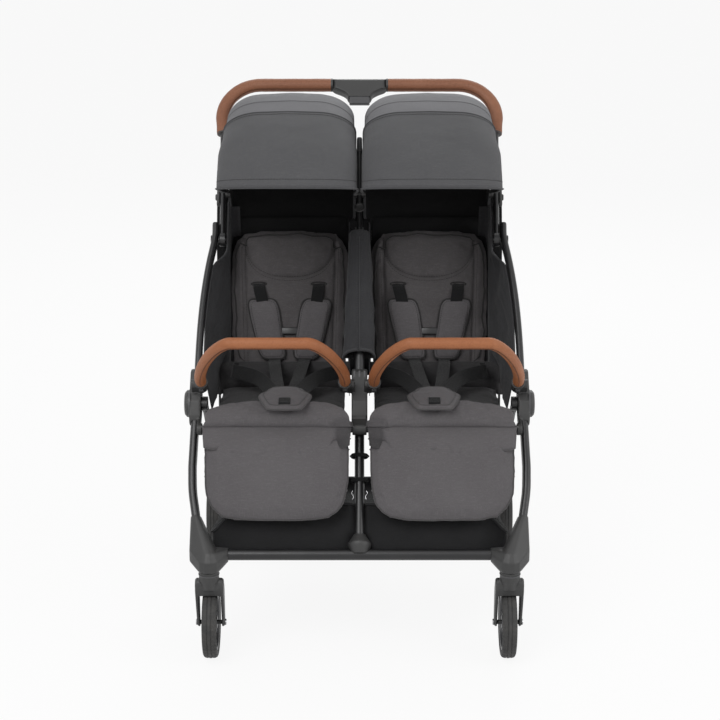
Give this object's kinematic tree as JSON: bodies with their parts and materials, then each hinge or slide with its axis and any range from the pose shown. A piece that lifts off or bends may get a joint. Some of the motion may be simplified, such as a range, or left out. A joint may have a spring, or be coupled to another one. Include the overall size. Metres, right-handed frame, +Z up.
{
  "type": "side-by-side twin folding pushchair",
  "caption": "Side-by-side twin folding pushchair with two padded seats, leg rests, bumper bars, canopies, a basket, casters and a brake.",
  "frame": {"origin": "on the floor, under the middle of the bounding box", "axes": "+X to the right of someone facing its front, +Y to its back, +Z up"},
  "size_m": [0.7258, 0.789, 1.0705],
  "materials": {
    "black_tube": "satin black powder coat",
    "black_plastic": "fine spark-eroded grain",
    "grey_plastic": "satin",
    "brown_leather": "smooth grained leatherette",
    "tyre_rubber": "matt foam-filled rubber",
    "seat_cloth": "marled grey weave, padded",
    "back_cloth": "dark grey weave, padded",
    "canopy_cloth": "grey plain weave",
    "dark_cloth": "near black plain weave"
  },
  "bodies": {
    "frame": {"front_leg_left": "black_tube", "front_leg_right": "black_tube", "front_leg_centre": "black_tube", "front_crossbar": "black_tube", "front_hub_left": "black_plastic", "front_hub_right": "black_plastic", "centre_foot": "black_plastic", "hinge_housing_left": "black_plastic", "hinge_housing_right": "black_plastic", "hinge_housing_centre": "black_plastic", "side_tube_left": "black_tube", "side_tube_right": "black_tube", "centre_tube": "black_tube", "front_seat_tube": "black_tube", "basket": "dark_cloth", "centre_sleeve": "dark_cloth", "side_wing_left": "dark_cloth", "side_wing_right": "dark_cloth"},
    "rear_frame": {"rear_leg_left": "black_tube", "rear_leg_right": "black_tube", "rear_axle": "black_tube"},
    "brake": {"brake_pedal": "grey_plastic"},
    "rear_wheel_left": {"rear_wheel_left": "tyre_rubber"},
    "rear_wheel_right": {"rear_wheel_right": "tyre_rubber"},
    "seat_frame": {"seat_base_left": "seat_cloth", "seat_base_right": "seat_cloth", "crotch_pad_left": "seat_cloth", "crotch_pad_right": "seat_cloth"},
    "back_carrier": {"rear_seat_tube": "black_tube"},
    "back_left": {"backrest_left": "back_cloth", "shoulder_harness_left": "back_cloth"},
    "back_right": {"backrest_right": "back_cloth", "shoulder_harness_right": "back_cloth"},
    "seat_links": {"seat_link_left": "black_tube", "seat_link_right": "black_tube"},
    "handle": {"handle_arm_left": "black_tube", "handle_arm_right": "black_tube", "handle_grip_left": "brown_leather", "handle_grip_right": "brown_leather", "handle_housing": "black_plastic", "canopy_rear_left": "canopy_cloth", "canopy_rear_right": "canopy_cloth"},
    "fold_trigger": {"fold_trigger": "grey_plastic"},
    "upright": {"centre_post": "black_tube"},
    "canopy_left": {"canopy_front_left": "canopy_cloth"},
    "canopy_right": {"canopy_front_right": "canopy_cloth"},
    "calf_left": {"leg_rest_left": "seat_cloth"},
    "calf_right": {"leg_rest_right": "seat_cloth"},
    "bumper_left": {"bumper_bar_left": "brown_leather"},
    "bumper_right": {"bumper_bar_right": "brown_leather"},
    "button_left_outer": {"bumper_button_left_outer": "grey_plastic"},
    "button_left_inner": {"bumper_button_left_inner": "grey_plastic"},
    "button_right_inner": {"bumper_button_right_inner": "grey_plastic"},
    "button_right_outer": {"bumper_button_right_outer": "grey_plastic"},
    "caster_left": {"caster_fork_left": "black_plastic"},
    "caster_right": {"caster_fork_right": "black_plastic"},
    "front_wheel_left": {"front_wheel_left": "grey_plastic", "front_tyre_left": "tyre_rubber"},
    "front_wheel_right": {"front_wheel_right": "grey_plastic", "front_tyre_right": "tyre_rubber"}
  },
  "joints": [
    {"name": "fold", "type": "hinge", "parent": "frame", "child": "rear_frame", "pos_m": [0, -0.12, 0.476], "axis": [-1, 0, 0], "range_deg": [0, 50], "deforming": ["side_wing_left", "side_wing_right", "centre_sleeve", "canopy_rear_left", "canopy_rear_right", "canopy_front_left", "canopy_front_right"]},
    {"name": "brake_press", "type": "hinge", "parent": "rear_frame", "child": "brake", "pos_m": [0, 0.24, 0.0825], "axis": [-1, 0, 0], "range_deg": [0, 18]},
    {"name": "seat_fold", "type": "hinge", "parent": "frame", "child": "seat_frame", "pos_m": [0, -0.173, 0.4385], "axis": [-1, 0, 0], "range_deg": [0, 46.5], "deforming": ["side_wing_left", "side_wing_right", "centre_sleeve"]},
    {"name": "back_fold", "type": "hinge", "parent": "seat_frame", "child": "back_carrier", "pos_m": [0, 0.08, 0.452], "axis": [1, 0, 0], "range_deg": [0, 46.5]},
    {"name": "link_turn", "type": "hinge", "parent": "rear_frame", "child": "seat_links", "pos_m": [0, 0.06, 0.28], "axis": [-1, 0, 0], "range_deg": [0, 15.85]},
    {"name": "handle_fold", "type": "hinge", "parent": "frame", "child": "handle", "pos_m": [0, 0.125, 0.765], "axis": [1, 0, 0], "range_deg": [0, 140], "deforming": ["side_wing_left", "side_wing_right", "centre_sleeve", "canopy_rear_left", "canopy_rear_right", "canopy_front_left", "canopy_front_right"]},
    {"name": "upright_fold", "type": "hinge", "parent": "frame", "child": "upright", "pos_m": [0, 0.125, 0.765], "axis": [1, 0, 0], "range_deg": [0, 140]},
    {"name": "trigger_slide", "type": "slide", "parent": "handle", "child": "fold_trigger", "axis": [0, 0.6591, 0.7521], "range_m": [0, 0.006], "stiffness_N_per_m": 400},
    {"name": "recline_left", "type": "hinge", "parent": "back_carrier", "child": "back_left", "pos_m": [0, 0.08, 0.452], "axis": [1, 0, 0], "range_deg": [-30, 0], "deforming": ["side_wing_left", "centre_sleeve"]},
    {"name": "recline_right", "type": "hinge", "parent": "back_carrier", "child": "back_right", "pos_m": [0, 0.08, 0.452], "axis": [1, 0, 0], "range_deg": [-30, 0], "deforming": ["side_wing_right", "centre_sleeve"]},
    {"name": "canopy_swing_left", "type": "hinge", "parent": "handle", "child": "canopy_left", "pos_m": [0, 0.19881, 0.84923], "axis": [-1, 0, 0], "range_deg": [0, 65]},
    {"name": "canopy_swing_right", "type": "hinge", "parent": "handle", "child": "canopy_right", "pos_m": [0, 0.19881, 0.84923], "axis": [-1, 0, 0], "range_deg": [0, 65]},
    {"name": "leg_rest_lift_left", "type": "hinge", "parent": "frame", "child": "calf_left", "pos_m": [0, -0.217, 0.462], "axis": [-1, 0, 0], "range_deg": [0, 50]},
    {"name": "leg_rest_lift_right", "type": "hinge", "parent": "frame", "child": "calf_right", "pos_m": [0, -0.217, 0.462], "axis": [-1, 0, 0], "range_deg": [0, 50]},
    {"name": "bumper_pull_left", "type": "slide", "parent": "frame", "child": "bumper_left", "axis": [0, -0.766, 0.6428], "range_m": [0, 0.05]},
    {"name": "bumper_pull_right", "type": "slide", "parent": "frame", "child": "bumper_right", "axis": [0, -0.766, 0.6428], "range_m": [0, 0.05]},
    {"name": "button_press_left_outer", "type": "slide", "parent": "frame", "child": "button_left_outer", "axis": [0, 0.6428, 0.766], "range_m": [0, 0.002], "stiffness_N_per_m": 400},
    {"name": "button_press_left_inner", "type": "slide", "parent": "frame", "child": "button_left_inner", "axis": [0, 0.6428, 0.766], "range_m": [0, 0.002], "stiffness_N_per_m": 400},
    {"name": "button_press_right_inner", "type": "slide", "parent": "frame", "child": "button_right_inner", "axis": [0, 0.6428, 0.766], "range_m": [0, 0.002], "stiffness_N_per_m": 400},
    {"name": "button_press_right_outer", "type": "slide", "parent": "frame", "child": "button_right_outer", "axis": [0, 0.6428, 0.766], "range_m": [0, 0.002], "stiffness_N_per_m": 400},
    {"name": "caster_swivel_left", "type": "hinge", "parent": "frame", "child": "caster_left", "pos_m": [-0.303, -0.346, 0.2], "axis": [0, 0, 1], "continuous": true},
    {"name": "front_roll_left", "type": "hinge", "parent": "caster_left", "child": "front_wheel_left", "pos_m": [-0.303, -0.321, 0.0735], "axis": [1, 0, 0], "continuous": true},
    {"name": "rear_roll_left", "type": "hinge", "parent": "rear_frame", "child": "rear_wheel_left", "pos_m": [-0.336, 0.24, 0.0825], "axis": [1, 0, 0], "continuous": true},
    {"name": "caster_swivel_right", "type": "hinge", "parent": "frame", "child": "caster_right", "pos_m": [0.303, -0.346, 0.2], "axis": [0, 0, 1], "continuous": true},
    {"name": "front_roll_right", "type": "hinge", "parent": "caster_right", "child": "front_wheel_right", "pos_m": [0.303, -0.321, 0.0735], "axis": [1, 0, 0], "continuous": true},
    {"name": "rear_roll_right", "type": "hinge", "parent": "rear_frame", "child": "rear_wheel_right", "pos_m": [0.336, 0.24, 0.0825], "axis": [1, 0, 0], "continuous": true}
  ],
  "couplings": [
    {"joint": "seat_fold", "follows": "fold", "ratio": 0.93},
    {"joint": "back_fold", "follows": "fold", "ratio": 0.93},
    {"joint": "link_turn", "follows": "fold", "ratio": 0.317},
    {"joint": "handle_fold", "follows": "fold", "ratio": 2.8},
    {"joint": "upright_fold", "follows": "fold", "ratio": 2.8}
  ]
}
